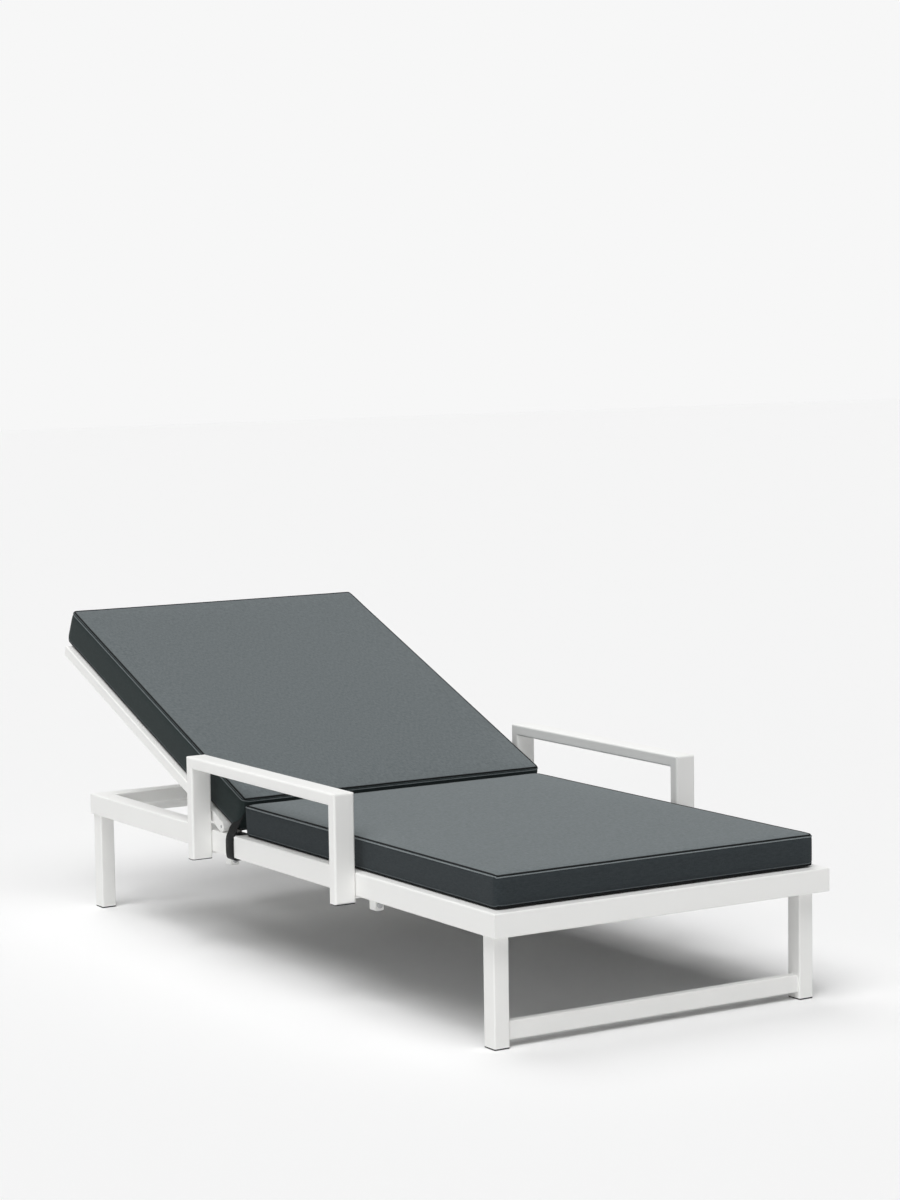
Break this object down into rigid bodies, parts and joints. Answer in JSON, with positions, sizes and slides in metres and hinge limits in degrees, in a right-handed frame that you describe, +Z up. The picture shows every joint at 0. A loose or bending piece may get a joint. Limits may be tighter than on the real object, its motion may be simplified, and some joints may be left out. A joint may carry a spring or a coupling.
{
  "type": "sun lounger",
  "caption": "Low sun lounger: tube frame on legs, clamp-on armrests, backrest that reclines on a prop and notched racks, thick seat and back pads.",
  "frame": {"origin": "on the floor, midway across and midway along the whole lounger at rest", "axes": "+Z up, +Y from the foot end to the head end, X across (-X is the near side in the picture)"},
  "size_m": [0.93, 1.9853, 0.7177],
  "materials": {
    "white_frame": "satin white powder coat on aluminium tube",
    "pad_fabric": "matte charcoal woven outdoor fabric",
    "webbing": "dark woven webbing",
    "black_plastic": "moulded black plastic",
    "nylon": "natural nylon",
    "stainless": "plain stainless steel"
  },
  "bodies": {
    "base": {"foot_rail": "white_frame", "head_rail": "white_frame", "foot_stretcher": "white_frame", "seat_slats": "white_frame", "rear_crossbar": "white_frame", "hinge_pins": "stainless", "hinge_washers": "nylon", "rack_stops": "white_frame", "seat_pad": "pad_fabric", "side_rail_left": "white_frame", "foot_leg_left": "white_frame", "head_leg_left": "white_frame", "foot_leg_glide_left": "black_plastic", "head_leg_glide_left": "black_plastic", "arm_top_left": "white_frame", "arm_front_post_left": "white_frame", "arm_rear_post_left": "white_frame", "arm_caps_left": "black_plastic", "arm_clamp_plates_left": "white_frame", "arm_clamp_blocks_left": "white_frame", "arm_clamp_bolts_left": "stainless", "hinge_bracket_left": "white_frame", "rack_left": "white_frame", "strap_left": "webbing", "side_rail_right": "white_frame", "foot_leg_right": "white_frame", "head_leg_right": "white_frame", "foot_leg_glide_right": "black_plastic", "head_leg_glide_right": "black_plastic", "arm_top_right": "white_frame", "arm_front_post_right": "white_frame", "arm_rear_post_right": "white_frame", "arm_caps_right": "black_plastic", "arm_clamp_plates_right": "white_frame", "arm_clamp_blocks_right": "white_frame", "arm_clamp_bolts_right": "stainless", "hinge_bracket_right": "white_frame", "rack_right": "white_frame", "strap_right": "webbing"},
    "backrest": {"back_top_rail": "white_frame", "back_lower_bar": "white_frame", "prop_bar": "white_frame", "lower_back_slats": "white_frame", "upper_back_slats": "white_frame", "prop_ears": "white_frame", "prop_pins": "stainless", "back_pad": "pad_fabric", "back_pad_heel": "pad_fabric", "back_rail_left": "white_frame", "hinge_end_left": "white_frame", "back_rail_right": "white_frame", "hinge_end_right": "white_frame"},
    "prop": {"foot_bar": "white_frame", "foot_bar_caps": "black_plastic", "prop_arm_left": "white_frame", "prop_arm_right": "white_frame"}
  },
  "joints": [
    {"name": "backrest_recline", "type": "hinge", "parent": "base", "child": "backrest", "pos_m": [0, 0.1572, 0.293], "axis": [1, 0, 0], "range_deg": [-21.7, 42.8], "deforming": ["back_pad_heel"]},
    {"name": "prop_swing", "type": "hinge", "parent": "backrest", "child": "prop", "pos_m": [0, 0.45413, 0.38939], "axis": [1, 0, 0], "range_deg": [-85.8, 43.6]}
  ],
  "couplings": [
    {"joint": "prop_swing", "follows": "backrest_recline", "ratio": -2}
  ]
}
